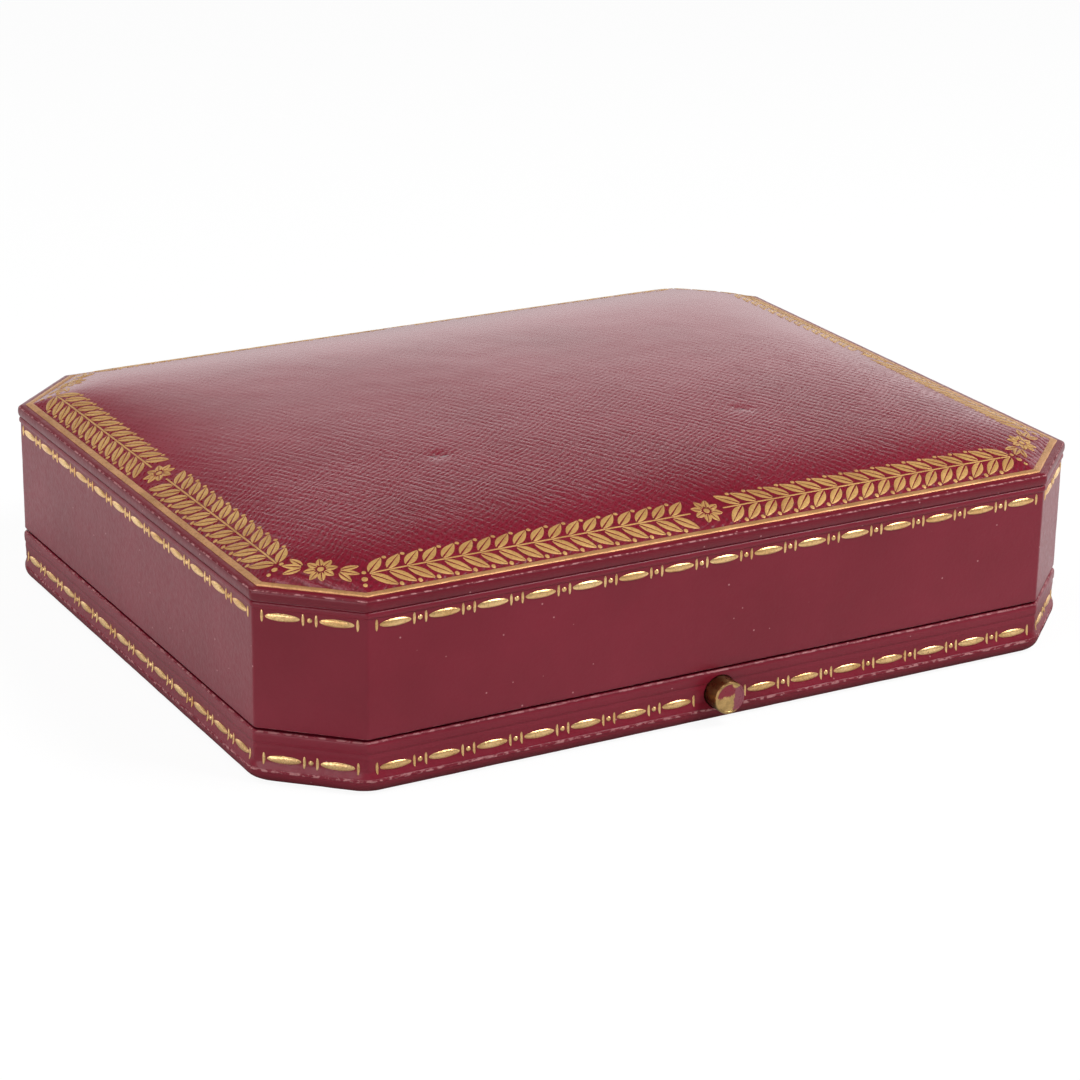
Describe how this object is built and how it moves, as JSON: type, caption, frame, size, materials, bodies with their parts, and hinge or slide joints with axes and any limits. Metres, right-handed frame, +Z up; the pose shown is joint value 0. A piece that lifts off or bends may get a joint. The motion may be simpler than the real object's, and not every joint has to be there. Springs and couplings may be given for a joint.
{
  "type": "jewelry case",
  "caption": "Octagonal leather-covered jewelry case: moulded base with velvet pad, hinged lid with padded domed top and satin lining, push-button spring catch.",
  "frame": {"origin": "centre of the flat underside, halfway between the lid's end walls and between its front and back walls", "axes": "+X along the front to the right, seen from the front, +Y from the front (button) to the back (hinges), +Z up"},
  "size_m": [0.1512, 0.1269, 0.0366],
  "materials": {
    "leather": "satin burgundy, fine crosshatched grain on the top",
    "gilt": "worn gold-leaf tooling pressed into the leather",
    "leathercloth": "matt",
    "board": "plain limewood",
    "card": "plain",
    "wadding": "soft felt",
    "velvet": "short-pile velvet",
    "satin": "cream satin",
    "brass": "polished, slightly tarnished",
    "steel": "spring temper"
  },
  "bodies": {
    "base": {"base_underside_cover": "leathercloth", "base_leather": "leather", "base_rail_right": "board", "base_rail_back_right": "board", "base_rail_back": "board", "base_rail_back_left": "board", "base_rail_left": "board", "base_rail_front_left": "board", "base_rail_front": "board", "base_rail_front_right": "board", "base_board": "board", "base_collar": "velvet", "pad_board": "card", "jewel_pad": "velvet", "button_bush": "brass", "catch_spring": "steel", "catch_screw_left": "steel", "catch_screw_right": "steel", "hinge_base_leaf_left": "brass", "hinge_base_leaf_right": "brass", "hinge_pin_left": "brass", "hinge_pin_right": "brass", "hinge_base_screw_left_outer": "brass", "hinge_base_screw_left_inner": "brass", "hinge_base_screw_right_inner": "brass", "hinge_base_screw_right_outer": "brass"},
    "button": {"push_button": "brass", "button_washer": "steel"},
    "lid": {"lid_rail_right": "board", "lid_rail_back_right": "board", "lid_rail_back": "board", "lid_rail_back_left": "board", "lid_rail_left": "board", "lid_rail_front_left": "board", "lid_rail_front": "board", "lid_rail_front_right": "board", "lid_top_board": "board", "lid_dome_pad": "wadding", "lid_top_leather": "leather", "lid_side_leather": "leather", "lid_side_lining": "satin", "lid_cushion_card": "card", "lid_cushion": "satin", "keeper_plate": "brass", "keeper_screw_left": "brass", "keeper_screw_right": "brass", "hinge_lid_leaf_left": "brass", "hinge_lid_leaf_right": "brass", "hinge_lid_screw_left_outer": "brass", "hinge_lid_screw_left_inner": "brass", "hinge_lid_screw_right_inner": "brass", "hinge_lid_screw_right_outer": "brass"}
  },
  "joints": [
    {"name": "lid_hinge", "type": "hinge", "parent": "base", "child": "lid", "pos_m": [0, 0.0621, 0.0087], "axis": [-1, 0, 0], "range_deg": [0, 100]},
    {"name": "button_push", "type": "slide", "parent": "base", "child": "button", "axis": [0, 1, 0], "range_m": [0, 0.0014], "stiffness_N_per_m": 400, "deforming": ["catch_spring"]}
  ]
}
